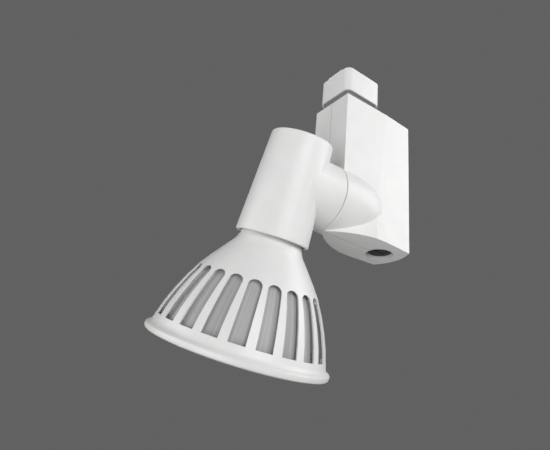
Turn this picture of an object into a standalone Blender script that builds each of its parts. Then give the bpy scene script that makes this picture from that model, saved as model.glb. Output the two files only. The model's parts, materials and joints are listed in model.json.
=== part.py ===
"""Track spotlight: a track connector, an adapter housing with a dimmer, a tilting lampholder and its lamp.

Metres, +Z up. The origin is the middle of the flat top of the contact carrier, which bears on the inside of
the track. +X runs from the narrow front of the housing, where the lampholder is, to its rear, and the
housing is symmetric about Y = 0. The housing pans about Z, and the lampholder tilts about a line along X.

Housing shapes are written with x from its front face and z from its top (the HOUSING frame). Lampholder and
lamp shapes are turned about the lamp's own line, with s along it from the tilt line (the LAMP frame).
"""

from math import cos, pi, radians, sin, sqrt

import bmesh
import bpy
from mathutils import Matrix, Vector

# Running gaps
GAP = 0.0003                    # between pieces that turn or slide on each other
TOUCH = 0.0001                  # between pieces that are fixed together

# Track connector
HEAD_LENGTH = 0.0338            # along the track
HEAD_WIDTH = 0.0311
HEAD_HEIGHT = 0.0207
HEAD_CORNER = 0.0050            # radius of its upright edges
HEAD_WALL = 0.0016
CARRIER_RISE = 0.0013           # how far the contact carrier stands above the head
CARRIER_WIDTH = 0.0150
CARRIER_CLEARANCE = 0.0025      # above the neck collar, for the wires
NECK_HEIGHT = 0.0064            # head to housing, the groove that the track's lips fit
NECK_INSET = 0.0019
COLLAR_RISE = 0.0030            # how far the neck collar reaches into the head
STEM_RADIUS = 0.0077            # turns in the housing's top wall
STEM_BORE = 0.0050              # wires pass through
STEM_LENGTH = 0.0095
WASHER_RADIUS = 0.0110
WASHER_THICKNESS = 0.0010
NUT_RADIUS = 0.0115             # across the corners, halved
PAN_NUT_HEIGHT = 0.0040
BLADE_THICKNESS = 0.0008
BLADE_WIDTH = 0.0060

# Housing
HOUSING_LENGTH = 0.0641
HOUSING_WIDTH = 0.0340
HOUSING_HEIGHT = 0.1037
HOUSING_WALL = 0.0022
FRONT_WALL = 0.0040
SIDE_BOW = 0.0018               # how far each broad side swells at the bottom
TOP_SWELL = 0.55                # the share of that swell at the top
REAR_BOW = 0.0047               # how far the rear end swells in plan
CREASE_X = 0.0386               # where a broad side changes direction
PAN_X = 0.0176                  # pan line, from the front face
PARTING_GAP = 0.0004
SCREW_PLACES = ((0.0520, -0.0150), (0.0585, -0.0660))
SCREW_HEAD_RADIUS = 0.0028
SCREW_SHANK_RADIUS = 0.0015
POST_RADIUS = 0.0034

# Tilt joint
TILT_DROP = 0.0793              # tilt line below the housing's top
SEAM_RADIUS = 0.0233
SEAM_REACH = 0.0016             # the boss's face in front of the housing
SEAM_GAP = 0.0005
BOSS_STRAIGHT = 0.0103          # where the boss starts to close in
BOSS_NOSE = 0.0408              # half length of its elliptical nose
BOLT_RADIUS = 0.0070
BOLT_BORE = 0.0045
BOLT_HEAD_RADIUS = 0.0110
BOLT_HEAD_HEIGHT = 0.0020
TILT_NUT_HEIGHT = 0.0045
NUT_POCKET_RADIUS = 0.0127      # room for the nut and washers behind the boss
NUT_POCKET_DEPTH = 0.0140
FRICTION_RADIUS = 0.0170
REST_TILT = radians(20.4)       # the lamp leans this far towards +Y

# Bottom hole with its dimmer
HOLE_X = 0.0522
HOLE_RADIUS = 0.0097
KNOB_RADIUS = 0.0087
KNOB_RECESS = 0.0019
KNOB_DEPTH = 0.0100             # how far in the knob reaches
DIMMER_LENGTH = 0.0205
DIMMER_HEIGHT = 0.0150
DIMMER_CLEARANCE = 0.0033       # from the housing's sides

# Wiring in the housing
TERMINAL_X = 0.0390
TERMINAL_Z = -0.0310
TERMINAL_SIZE = (0.0160, 0.0200, 0.0120)
POLE_OFFSET = 0.0050            # live and neutral on each side of the middle
LEAD_RADIUS = 0.0011
SOCKET_LEAD_RADIUS = 0.0008

# Lampholder, with s along the lamp from the tilt line
BARREL_OFFSET = 0.0317          # barrel's line in front of the housing
BARREL_TOP = -0.0295
BARREL_BOTTOM = 0.0386
BARREL_TOP_RADIUS = 0.0207
BARREL_BOTTOM_RADIUS = 0.0241
BARREL_WALL = 0.0020
BARREL_EDGE = 0.0010            # rounding of the top edge
KNUCKLE_END_RADIUS = 0.0219     # at the barrel's line, a little inside the barrel
SOCKET_WALL = 0.0013
SOCKET_BACK = -0.0225
SOCKET_FLOOR = -0.0188          # where the centre contact stands
SOCKET_END = 0.0098
THREAD_RADIUS = 0.0131          # crest of the lamp's screw base
THREAD_CLEARANCE = 0.0016       # room for the screw shell, with its play
THREAD_DEPTH = 0.0008
THREAD_PITCH = 0.003629         # seven threads to the inch

# Lamp
BASE_TIP = -0.0160              # end of the screw base's centre contact
BASE_START = -0.0117            # the threaded shell of the base
BASE_END = 0.0108
SLOTS = 22
SLOT_START = 0.0665
SLOT_END = 0.1022
SLOT_TOP_WIDTH = 0.0084
SLOT_BOTTOM_WIDTH = 0.0100
SLOT_TOP_RISE = 0.80            # height of a slot's round top, against its half width
SHELL_WALL = 0.0010
SHELL_PROFILE = (               # s, outside radius, from the neck to the slots' end
    (0.0120, 0.0167),
    (0.0250, 0.0188),
    (0.0400, 0.0202),
    (0.0448, 0.0225),
    (0.0510, 0.0274),
    (0.0590, 0.0337),
    (0.0670, 0.0395),
    (0.0760, 0.0445),
    (0.0850, 0.0487),
    (0.0940, 0.0523),
    (0.1023, 0.0548),
)
LIP_PROFILE = (                 # the flare into the rounded lip at the front
    (0.1050, 0.0555),
    (0.1068, 0.0561),
    (0.1078, 0.0571),
    (0.1084, 0.0585),
    (0.1092, 0.0592),
    (0.1110, 0.0592),
    (0.1121, 0.0587),
    (0.1126, 0.0578),
)
CORE_INSET = 0.0032             # finned core behind the slots, from the shell's outside
CORE_WALL = 0.0018
CORE_FLANGE = (0.1032, 0.1046, 0.0518)     # start, end and radius: closes the slots' lower ends
LENS_RADIUS = 0.0530
LENS_START = 0.1088
LENS_END = 0.1118
BOARD_S = 0.0900
BOARD_RADIUS = 0.0380
EMITTER_RING = 0.0200
EMITTERS = 4

ROUND = 2 * SLOTS               # sides of large round pieces
BARREL_SIDES = 72
SMALL = 24                      # sides of small round pieces

WHITE = (0.86, 0.86, 0.85)
GREY = (0.30, 0.30, 0.31)
BLACK = (0.03, 0.03, 0.03)
CERAMIC = (0.80, 0.78, 0.72)
BRASS = (0.72, 0.52, 0.22)
COPPER = (0.72, 0.40, 0.24)
STEEL = (0.58, 0.58, 0.60)

HOUSING_TOP = -(CARRIER_RISE + HEAD_HEIGHT + NECK_HEIGHT)
HOUSING = Matrix.Translation((-PAN_X, 0.0, HOUSING_TOP))
TILT_CENTRE = HOUSING @ Vector((-SEAM_REACH, 0.0, -TILT_DROP))
LAMP_CENTRE = HOUSING @ Vector((-BARREL_OFFSET, 0.0, -TILT_DROP))
HOLE_CENTRE = HOUSING @ Vector((HOLE_X, 0.0, -HOUSING_HEIGHT))

# Local z runs along +X here, so x of a turned piece becomes its distance along the tilt line
TILT = Matrix.Translation(TILT_CENTRE) @ Matrix.Rotation(pi / 2, 4, "Y")
LAMP = Matrix.Translation(LAMP_CENTRE) @ Matrix.Rotation(pi + REST_TILT, 4, "X")
ORIGINS = {
    "connector": Vector((0.0, 0.0, 0.0)),
    "housing": Vector((0.0, 0.0, HOUSING_TOP)),
    "knob": HOLE_CENTRE,
    "lampholder": TILT_CENTRE,
    "lamp": LAMP_CENTRE,
}


# Building blocks

def add_mesh(name, vertices, faces):
    """A mesh object with outward faces, in world space."""
    mesh = bpy.data.meshes.new(name)
    work = bmesh.new()
    corners = [work.verts.new(vertex) for vertex in vertices]
    for face in faces:
        work.faces.new([corners[index] for index in face])
    bmesh.ops.recalc_face_normals(work, faces=work.faces)
    work.to_mesh(mesh)
    work.free()
    obj = bpy.data.objects.new(name, mesh)
    bpy.context.scene.collection.objects.link(obj)
    return obj


def skin(name, loops, ring=False):
    """A surface through loops of equal length: a ring joins the last to the first, otherwise ends are capped."""
    count = len(loops[0])
    vertices = [point for loop in loops for point in loop]
    faces = []
    for row in range(len(loops) if ring else len(loops) - 1):
        low = row * count
        high = (row + 1) % len(loops) * count
        for index in range(count):
            after = (index + 1) % count
            faces.append((low + index, low + after, high + after, high + index))
    if not ring:
        last = (len(loops) - 1) * count
        faces.append(tuple(range(count)))
        faces.append(tuple(range(last, last + count)))
    return add_mesh(name, vertices, faces)


def prism(name, outline, low, high, frame=None):
    """An outline in local x, y, carried along local z from low to high."""
    frame = frame or Matrix()
    loops = [[frame @ Vector((x, y, z)) for x, y in outline] for z in (low, high)]
    return skin(name, loops)


def block(name, centre, size, frame=None):
    """A box."""
    half_x, half_y, half_z = (length / 2 for length in size)
    x, y, z = centre
    outline = (
        (x - half_x, y - half_y),
        (x + half_x, y - half_y),
        (x + half_x, y + half_y),
        (x - half_x, y + half_y),
    )
    return prism(name, outline, z - half_z, z + half_z, frame)


def turned(name, profile, frame, sides=SMALL, ring=False):
    """A piece turned about local z from (distance, radius) pairs. A ring's profile closes on itself."""
    loops = []
    for distance, radius in profile:
        angles = [2 * pi * (index + 0.5) / sides for index in range(sides)]
        loops.append([frame @ Vector((radius * cos(a), radius * sin(a), distance)) for a in angles])
    return skin(name, loops, ring)


def tube(name, start, end, inner, outer, frame, sides=SMALL):
    """A plain ring or sleeve."""
    return turned(name, ((start, inner), (end, inner), (end, outer), (start, outer)), frame, sides, ring=True)


def hexagon_nut(name, low, high, bore, frame):
    """A six-sided nut with a plain bore."""
    angles = [pi / 3 * corner for corner in range(6)]
    nut = prism(name, [(NUT_RADIUS * cos(a), NUT_RADIUS * sin(a)) for a in angles], low, high, frame)
    spare = high - low
    hole = turned("hole", ((low - spare, bore), (high + spare, bore)), frame)
    return combine(nut, "DIFFERENCE", [hole])


def rounded_outline(length, width, radius, corner_steps=6):
    """A rectangle with round corners, centred on the origin."""
    points = []
    for quarter, (sign_x, sign_y) in enumerate(((1, 1), (-1, 1), (-1, -1), (1, -1))):
        centre_x = sign_x * (length / 2 - radius)
        centre_y = sign_y * (width / 2 - radius)
        for step in range(corner_steps + 1):
            angle = pi / 2 * (quarter + step / corner_steps)
            points.append((centre_x + radius * cos(angle), centre_y + radius * sin(angle)))
    return points


def wire(name, path, radius, sides=10):
    """A round wire through the points of a path that lies mostly in one plane."""
    points = [Vector(point) for point in path]
    loops = []
    for index, point in enumerate(points):
        before = points[max(index - 1, 0)]
        after = points[min(index + 1, len(points) - 1)]
        along = (after - before).normalized()
        across = along.orthogonal().normalized() if index == 0 else (across - across.dot(along) * along).normalized()
        third = along.cross(across)
        angles = [2 * pi * side / sides for side in range(sides)]
        loops.append([point + radius * (cos(a) * across + sin(a) * third) for a in angles])
    return skin(name, loops)


def combine(target, operation, tools):
    """Joins the tools to the target, or cuts them from it, one at a time, and removes them."""
    for tool in tools:
        modifier = target.modifiers.new("combine", "BOOLEAN")
        modifier.solver = "EXACT"
        modifier.operation = operation
        modifier.object = tool
        graph = bpy.context.evaluated_depsgraph_get()
        mesh = bpy.data.meshes.new_from_object(target.evaluated_get(graph))
        target.modifiers.clear()
        target.data = mesh
        bpy.data.objects.remove(tool)
    return target


def merged(name, pieces):
    """One object out of separate pieces that don't touch, to use as a tool."""
    vertices = []
    faces = []
    for piece in pieces:
        start = len(vertices)
        vertices.extend(vertex.co.copy() for vertex in piece.data.vertices)
        faces.extend(tuple(start + index for index in face.vertices) for face in piece.data.polygons)
        bpy.data.objects.remove(piece)
    return add_mesh(name, vertices, faces)


def finish(obj, body, colour, roughness=0.45, metallic=0.0):
    """Puts the object's origin on its body's joint and gives it its own material."""
    origin = ORIGINS[body]
    obj.data.transform(Matrix.Translation(-origin))
    obj.location = origin
    material = bpy.data.materials.new(obj.name)
    material.use_nodes = True
    surface = material.node_tree.nodes["Principled BSDF"]
    surface.inputs["Base Color"].default_value = (*colour, 1.0)
    surface.inputs["Roughness"].default_value = roughness
    surface.inputs["Metallic"].default_value = metallic
    obj.data.materials.clear()
    obj.data.materials.append(material)
    return obj


# Track connector

def build_head():
    """The shell that goes into the track, open below, with a window in its top for the contact carrier."""
    top = -CARRIER_RISE
    bottom = top - HEAD_HEIGHT
    soft = 0.0006
    outline = rounded_outline(HEAD_LENGTH, HEAD_WIDTH, HEAD_CORNER)
    top_outline = rounded_outline(HEAD_LENGTH - 2 * soft, HEAD_WIDTH - 2 * soft, HEAD_CORNER - soft)
    loops = [
        [Vector((x, y, bottom)) for x, y in outline],
        [Vector((x, y, top - soft)) for x, y in outline],
        [Vector((x, y, top)) for x, y in top_outline],
    ]
    head = skin("connector_head", loops)
    inside = rounded_outline(HEAD_LENGTH - 2 * HEAD_WALL, HEAD_WIDTH - 2 * HEAD_WALL, HEAD_CORNER - HEAD_WALL)
    hollow = prism("hollow", inside, bottom - HEAD_WALL, top - HEAD_WALL)
    window_length = HEAD_LENGTH - 4 * HEAD_WALL
    window = block("window", (0, 0, top), (window_length, CARRIER_WIDTH - 2 * HEAD_WALL, 4 * HEAD_WALL))
    slots = [
        block(f"slot_{name}", centre, size)
        for name, centre, size in blade_slots()
    ]
    combine(head, "DIFFERENCE", [hollow, window, *slots])
    return finish(head, "connector", WHITE)


def blade_slots():
    """Where each contact blade leaves the head: name, centre, size of the slot."""
    width = BLADE_WIDTH + 2 * GAP
    thickness = BLADE_THICKNESS + 2 * GAP
    through = 4 * HEAD_WALL
    return [
        ("live", (0.0060, HEAD_WIDTH / 2, blade_level("live")), (width, through, thickness)),
        ("neutral", (-0.0060, HEAD_WIDTH / 2, blade_level("neutral")), (width, through, thickness)),
        ("ground", (HEAD_LENGTH / 2, 0.0, blade_level("ground")), (through, width, thickness)),
    ]


def blade_level(name):
    """Height of each blade: the three conductors of the track lie at different depths."""
    share = {"live": 0.25, "neutral": 0.47, "ground": 0.69}[name]
    return -CARRIER_RISE - HEAD_HEIGHT * share


def build_carrier():
    """The insulating block inside the head, whose ridge stands proud of the head's top."""
    under = -CARRIER_RISE - HEAD_WALL - TOUCH
    length = HEAD_LENGTH - 2 * HEAD_WALL - 2 * GAP
    height = under - (-CARRIER_RISE - HEAD_HEIGHT + COLLAR_RISE + CARRIER_CLEARANCE)
    carrier = block("contact_carrier", (0, 0, under - height / 2), (length, CARRIER_WIDTH, height))
    neck_length = HEAD_LENGTH - 4 * HEAD_WALL - 2 * GAP
    neck_width = CARRIER_WIDTH - 2 * HEAD_WALL - 2 * GAP
    neck_low = under - HEAD_WALL
    neck_high = -CARRIER_RISE / 2
    neck = block("neck", (0, 0, (neck_low + neck_high) / 2), (neck_length, neck_width, neck_high - neck_low))
    ridge_low = -CARRIER_RISE + TOUCH
    ridge_length = HEAD_LENGTH - 2 * 0.0006
    ridge = block("ridge", (0, 0, ridge_low / 2), (ridge_length, CARRIER_WIDTH, -ridge_low))
    combine(carrier, "UNION", [neck, ridge])
    return finish(carrier, "connector", WHITE)


def build_blades():
    """Three flat spring contacts that reach out of the head on the sides away from the lamp."""
    carrier_side = CARRIER_WIDTH / 2 + TOUCH
    reach = 0.0035
    for name in ("live", "neutral"):
        x = 0.0060 if name == "live" else -0.0060
        start = carrier_side
        end = HEAD_WIDTH / 2 + reach
        centre = (x, (start + end) / 2, blade_level(name))
        size = (BLADE_WIDTH, end - start, BLADE_THICKNESS)
        finish(block(f"blade_{name}", centre, size), "connector", COPPER, 0.3, 1.0)
    start = HEAD_LENGTH / 2 - HEAD_WALL - GAP + TOUCH
    end = HEAD_LENGTH / 2 + reach
    centre = ((start + end) / 2, 0.0, blade_level("ground"))
    size = (end - start, BLADE_WIDTH, BLADE_THICKNESS)
    finish(block("blade_ground", centre, size), "connector", COPPER, 0.3, 1.0)


def build_collar():
    """The grey neck, fixed in the head, with the hollow stem that the housing turns on."""
    head_bottom = -CARRIER_RISE - HEAD_HEIGHT
    outline = rounded_outline(
        HEAD_LENGTH - 2 * NECK_INSET,
        HEAD_WIDTH - 2 * NECK_INSET,
        HEAD_CORNER - NECK_INSET,
    )
    top = head_bottom + COLLAR_RISE
    collar = prism("neck_collar", outline, HOUSING_TOP + GAP, top)
    stem_end = HOUSING_TOP - STEM_LENGTH
    stem = turned("stem", ((stem_end, STEM_RADIUS), (HOUSING_TOP + 0.0020, STEM_RADIUS)), Matrix())
    bore = turned("bore", ((stem_end - 0.001, STEM_BORE), (top + 0.001, STEM_BORE)), Matrix())
    combine(collar, "UNION", [stem])
    combine(collar, "DIFFERENCE", [bore])
    finish(collar, "connector", GREY)
    inside_top = HOUSING_TOP - HOUSING_WALL
    washer_bottom = inside_top - GAP - WASHER_THICKNESS
    washer = tube("pan_washer", washer_bottom, inside_top - GAP, STEM_RADIUS + TOUCH, WASHER_RADIUS, Matrix())
    finish(washer, "connector", STEEL, 0.35, 1.0)
    nut_top = washer_bottom - TOUCH
    nut = hexagon_nut("pan_nut", nut_top - PAN_NUT_HEIGHT, nut_top, STEM_RADIUS + TOUCH, Matrix())
    finish(nut, "connector", STEEL, 0.35, 1.0)


# Housing

def half_width(x, depth, inset):
    """Half the housing's width at x: two flat faces that meet at the crease. It swells with depth."""
    if x <= CREASE_X:
        swell = x / CREASE_X
    else:
        swell = (HOUSING_LENGTH - x) / (HOUSING_LENGTH - CREASE_X)
    return HOUSING_WIDTH / 2 + SIDE_BOW * swell * (TOP_SWELL + (1 - TOP_SWELL) * depth) - inset


def plan_loop(z, front, inset):
    """The housing's outline at height z, from the front's -Y corner round to the front's +Y corner."""
    depth = -z / HOUSING_HEIGHT
    rear = HOUSING_LENGTH - inset
    stations = [front, CREASE_X, rear]
    near = [(x, -half_width(x, depth, inset)) for x in stations]
    corner = half_width(rear, depth, inset)
    end = []
    for step in range(1, 10):
        y = corner * (step / 5 - 1)
        end.append((rear + REAR_BOW * (1 - (y / corner) ** 2), y))
    far = [(x, -y) for x, y in reversed(near)]
    return [HOUSING @ Vector((x, y, z)) for x, y in near + end + far]


def leaf_half_width(x, inset):
    """Half width of the pointed plan of the lower front, which starts behind the seam and widens to the crease."""
    tip = -0.0010
    share = (CREASE_X - x) / (CREASE_X - tip)
    widest = HOUSING_WIDTH / 2 + SIDE_BOW + 0.0003
    return max(widest * max(1 - share ** 2, 0.0) ** 0.85 - inset, 0.0003)


def housing_solid(name, front, inset, top, bottom):
    """The housing's block, with its lower front drawn in to a pointed plan under the tilt boss."""
    solid = skin(name, [plan_loop(z, front, inset) for z in (bottom, top)])
    stations = [-0.0010, 0.0000, 0.0015, 0.0040, 0.0075, 0.0120, 0.0170, 0.0225, 0.0285, 0.0345]
    near = [(x, -leaf_half_width(x, inset)) for x in stations]
    far = [(x, leaf_half_width(x, inset)) for x in reversed(stations)]
    spare = 0.0100
    leaf = prism("leaf", near + far, -HOUSING_HEIGHT - 2 * spare, -TILT_DROP + spare, HOUSING)
    length = 0.0320
    top = -TILT_DROP - TOUCH
    low = -HOUSING_HEIGHT - spare
    width = HOUSING_WIDTH + 2 * spare
    corner = block("corner", (length / 2 - 0.002, 0, (top + low) / 2), (length, width, top - low), HOUSING)
    combine(corner, "DIFFERENCE", [leaf])
    return combine(solid, "DIFFERENCE", [corner])


def build_boss():
    """The round boss of the tilt joint, which dies away in the broad sides."""
    profile = [(0.0, SEAM_RADIUS - 0.0004), (0.0004, SEAM_RADIUS)]
    profile.append((SEAM_REACH + BOSS_STRAIGHT, SEAM_RADIUS + 0.0002))
    for share in (0.25, 0.42, 0.56, 0.68, 0.78):
        x = SEAM_REACH + BOSS_STRAIGHT + BOSS_NOSE * share
        profile.append((x, (SEAM_RADIUS + 0.0002) * sqrt(1 - share ** 2)))
    return turned("boss", profile, TILT, BARREL_SIDES)


def along_y(y_start, y_end, radius, x, z, name="rod"):
    """A cylinder across the housing."""
    frame = HOUSING @ Matrix.Translation((x, 0, z)) @ Matrix.Rotation(-pi / 2, 4, "X")
    return turned(name, ((y_start, radius), (y_end, radius)), frame, 16)


def build_half():
    """The -Y half of the housing, before its screw holes."""
    shell = housing_solid("shell_near", 0.0, 0.0, 0.0, -HOUSING_HEIGHT)
    combine(shell, "UNION", [build_boss()])
    hollow = housing_solid("hollow", FRONT_WALL, HOUSING_WALL, -HOUSING_WALL, HOUSING_WALL - HOUSING_HEIGHT)
    bolt_hole = turned("bolt_hole", ((-0.002, BOLT_RADIUS + GAP), (0.010, BOLT_RADIUS + GAP)), TILT)
    stem_hole = turned("stem_hole", ((-0.005, STEM_RADIUS + GAP), (0.005, STEM_RADIUS + GAP)),
                       Matrix.Translation((0, 0, HOUSING_TOP)))
    knob_hole = turned("knob_hole", ((-0.005, HOLE_RADIUS), (0.005, HOLE_RADIUS)),
                       Matrix.Translation(HOLE_CENTRE), 32)
    pocket_start = SEAM_REACH + FRONT_WALL - TOUCH
    pocket_end = pocket_start + NUT_POCKET_DEPTH
    nut_pocket = turned("nut_pocket", ((pocket_start, NUT_POCKET_RADIUS), (pocket_end, NUT_POCKET_RADIUS)), TILT)
    combine(shell, "DIFFERENCE", [hollow, nut_pocket, bolt_hole, stem_hole, knob_hole])
    side = 0.2000
    other = block("other", (0, side / 2 - PARTING_GAP / 2, 0), (side, side, 2 * side), HOUSING)
    combine(shell, "DIFFERENCE", [other])
    posts = [
        along_y(-HOUSING_WIDTH / 2 + HOUSING_WALL / 2, -PARTING_GAP / 2, POST_RADIUS, x, z, "post")
        for x, z in SCREW_PLACES
    ]
    return combine(shell, "UNION", posts)


def build_housing():
    """Both halves of the housing and the screws that hold them together."""
    near = build_half()
    mirror = Matrix.Scale(-1, 4, (0, 1, 0))
    vertices = [mirror @ vertex.co for vertex in near.data.vertices]
    far = add_mesh("shell_far", vertices, [tuple(face.vertices) for face in near.data.polygons])
    clear = SCREW_SHANK_RADIUS + GAP
    head_seat = HOUSING_WIDTH / 2 - 0.0020
    blind_holes = [along_y(-0.0120, 0.0010, clear, x, z) for x, z in SCREW_PLACES]
    through_holes = [along_y(-0.0010, 0.0300, clear, x, z) for x, z in SCREW_PLACES]
    head_holes = [along_y(head_seat, 0.0300, SCREW_HEAD_RADIUS + GAP, x, z) for x, z in SCREW_PLACES]
    finish(combine(near, "DIFFERENCE", blind_holes), "housing", WHITE)
    finish(combine(far, "DIFFERENCE", through_holes + head_holes), "housing", WHITE)
    for name, (x, z) in zip(("top", "rear"), SCREW_PLACES):
        frame = HOUSING @ Matrix.Translation((x, 0, z)) @ Matrix.Rotation(-pi / 2, 4, "X")
        seat = head_seat + TOUCH
        profile = (
            (-0.0110, SCREW_SHANK_RADIUS),
            (seat, SCREW_SHANK_RADIUS),
            (seat, SCREW_HEAD_RADIUS),
            (seat + 0.0012, SCREW_HEAD_RADIUS),
            (seat + 0.0017, SCREW_HEAD_RADIUS - 0.0008),
        )
        screw = turned(f"shell_screw_{name}", profile, frame, 16)
        finish(screw, "housing", STEEL, 0.35, 1.0)


def build_wiring():
    """Terminal block with its screws, and the leads inside the housing."""
    terminals = block("terminal_block", (TERMINAL_X, 0, TERMINAL_Z), TERMINAL_SIZE, HOUSING)
    finish(terminals, "housing", CERAMIC)
    length, _, height = TERMINAL_SIZE
    for name, y in (("live", -POLE_OFFSET), ("neutral", POLE_OFFSET)):
        frame = HOUSING @ Matrix.Translation((TERMINAL_X, y, TERMINAL_Z + height / 2 + TOUCH))
        screw = turned(f"terminal_screw_{name}", ((0, 0.0022), (0.0010, 0.0022), (0.0015, 0.0016)), frame, 12)
        finish(screw, "housing", BRASS, 0.3, 1.0)
        block_front = TERMINAL_X - length / 2 - TOUCH
        top_path = [
            (block_front, y, -0.0290),
            (0.0280, y, -0.0290),
            (0.0250, y, -0.0275),
            (0.0210, y * 0.7, -0.0240),
            (0.0185, y * 0.4, -0.0180),
            (0.0180, y * 0.4, -0.0125),
        ]
        low_path = [
            (block_front, y, -0.0340),
            (0.0280, y, -0.0340),
            (0.0240, y, -0.0375),
            (0.0190, y * 0.7, -0.0480),
            (0.0185, y * 0.5, -0.0620),
            (0.0180, y * 0.4, -0.0720),
            (0.0160, y * 0.4, -0.0775),
            (0.0125, y * 0.4, -0.0793),
        ]
        lead_colour = BLACK if name == "live" else WHITE
        for part, path in (("supply", top_path), ("load", low_path)):
            points = [HOUSING @ Vector(point) for point in path]
            finish(wire(f"lead_{part}_{name}", points, LEAD_RADIUS), "housing", lead_colour)


def build_dimmer():
    """The dimmer behind the bottom hole: body, white bushing and recessed knob."""
    floor = HOUSING_WALL + GAP
    frame = Matrix.Translation(HOLE_CENTRE)
    middle = floor + DIMMER_HEIGHT / 2 + 0.0020
    width = HOUSING_WIDTH - 2 * (HOUSING_WALL + DIMMER_CLEARANCE)
    body = block("dimmer_body", (0, 0, middle), (DIMMER_LENGTH, width, DIMMER_HEIGHT), frame)
    socket_end = KNOB_DEPTH + 0.0010
    socket = turned("socket", ((0, KNOB_RADIUS + GAP), (socket_end, KNOB_RADIUS + GAP)), frame)
    finish(combine(body, "DIFFERENCE", [socket]), "housing", BLACK)
    flange_low = floor
    flange_high = floor + 0.0018
    inner = KNOB_RADIUS + GAP
    sleeve = HOLE_RADIUS - GAP
    profile = (
        (0.0002, sleeve - 0.0002),
        (KNOB_RECESS - 0.0002, inner),
        (flange_high, inner),
        (flange_high, sleeve + 0.0014),
        (flange_low, sleeve + 0.0014),
        (flange_low, sleeve),
        (0.0002, sleeve),
    )
    finish(turned("dimmer_bushing", profile, frame, 32, ring=True), "housing", WHITE)
    groove = 0.0005
    knob_profile = [(KNOB_DEPTH, KNOB_RADIUS)]
    knob_profile.append((KNOB_RECESS + 0.0004, KNOB_RADIUS))
    knob_profile.append((KNOB_RECESS, KNOB_RADIUS - 0.0004))
    knob_profile.append((KNOB_RECESS, 0.0060))
    knob_profile.append((KNOB_RECESS + groove, 0.0056))
    knob_profile.append((KNOB_RECESS + groove, 0.0050))
    knob_profile.append((KNOB_RECESS, 0.0046))
    knob = turned("dimmer_knob", knob_profile, frame)
    slot = block("slot", (0, 0, KNOB_RECESS), (0.0090, 0.0012, 0.0024), frame)
    finish(combine(knob, "DIFFERENCE", [slot]), "knob", BLACK, 0.6)


# Tilt joint

def build_tilt_joint():
    """Hollow bolt, washers and nut. All turn with the lampholder."""
    flange = -SEAM_GAP - 0.0043
    nut_start = SEAM_REACH + FRONT_WALL + GAP + 0.0026
    bolt_end = nut_start + TILT_NUT_HEIGHT + 0.0010
    bolt_profile = (
        (flange, BOLT_BORE),
        (bolt_end, BOLT_BORE),
        (bolt_end, BOLT_RADIUS),
        (flange, BOLT_RADIUS),
        (flange, BOLT_HEAD_RADIUS),
        (flange - BOLT_HEAD_HEIGHT, BOLT_HEAD_RADIUS),
        (flange - BOLT_HEAD_HEIGHT, BOLT_BORE),
    )
    finish(turned("tilt_bolt", bolt_profile, TILT, ring=True), "lampholder", STEEL, 0.35, 1.0)
    pad_back = -SEAM_GAP - 0.0009
    pad = tube("friction_washer", pad_back, -0.0002, BOLT_RADIUS + TOUCH, FRICTION_RADIUS, TILT, 32)
    finish(pad, "lampholder", BLACK, 0.7)
    inside = SEAM_REACH + FRONT_WALL + GAP
    washer_end = inside + WASHER_THICKNESS
    flat = tube("flat_washer", inside, washer_end, BOLT_RADIUS + TOUCH, WASHER_RADIUS, TILT)
    finish(flat, "lampholder", STEEL, 0.35, 1.0)
    finish(build_wave_washer(washer_end + TOUCH), "lampholder", STEEL, 0.3, 1.0)
    nut = hexagon_nut("tilt_nut", nut_start, nut_start + TILT_NUT_HEIGHT, BOLT_RADIUS + TOUCH, TILT)
    finish(nut, "lampholder", STEEL, 0.35, 1.0)


def build_wave_washer(start):
    """A spring washer with three waves, pressed by the nut."""
    thickness = 0.0005
    wave = 0.0004
    sides = 36
    loops = []
    for radius, lift in (
        (BOLT_RADIUS + TOUCH, 0.0),
        (BOLT_RADIUS + TOUCH, thickness),
        (0.0105, thickness),
        (0.0105, 0.0),
    ):
        loop = []
        for index in range(sides):
            angle = 2 * pi * index / sides
            distance = start + wave * (1 + sin(3 * angle)) + lift
            loop.append(TILT @ Vector((radius * cos(angle), radius * sin(angle), distance)))
        loops.append(loop)
    return skin("wave_washer", loops, ring=True)


# Lampholder

def barrel_radius(s):
    """Outside radius of the tapered barrel."""
    share = (s - BARREL_TOP) / (BARREL_BOTTOM - BARREL_TOP)
    return BARREL_TOP_RADIUS + (BARREL_BOTTOM_RADIUS - BARREL_TOP_RADIUS) * share


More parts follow.
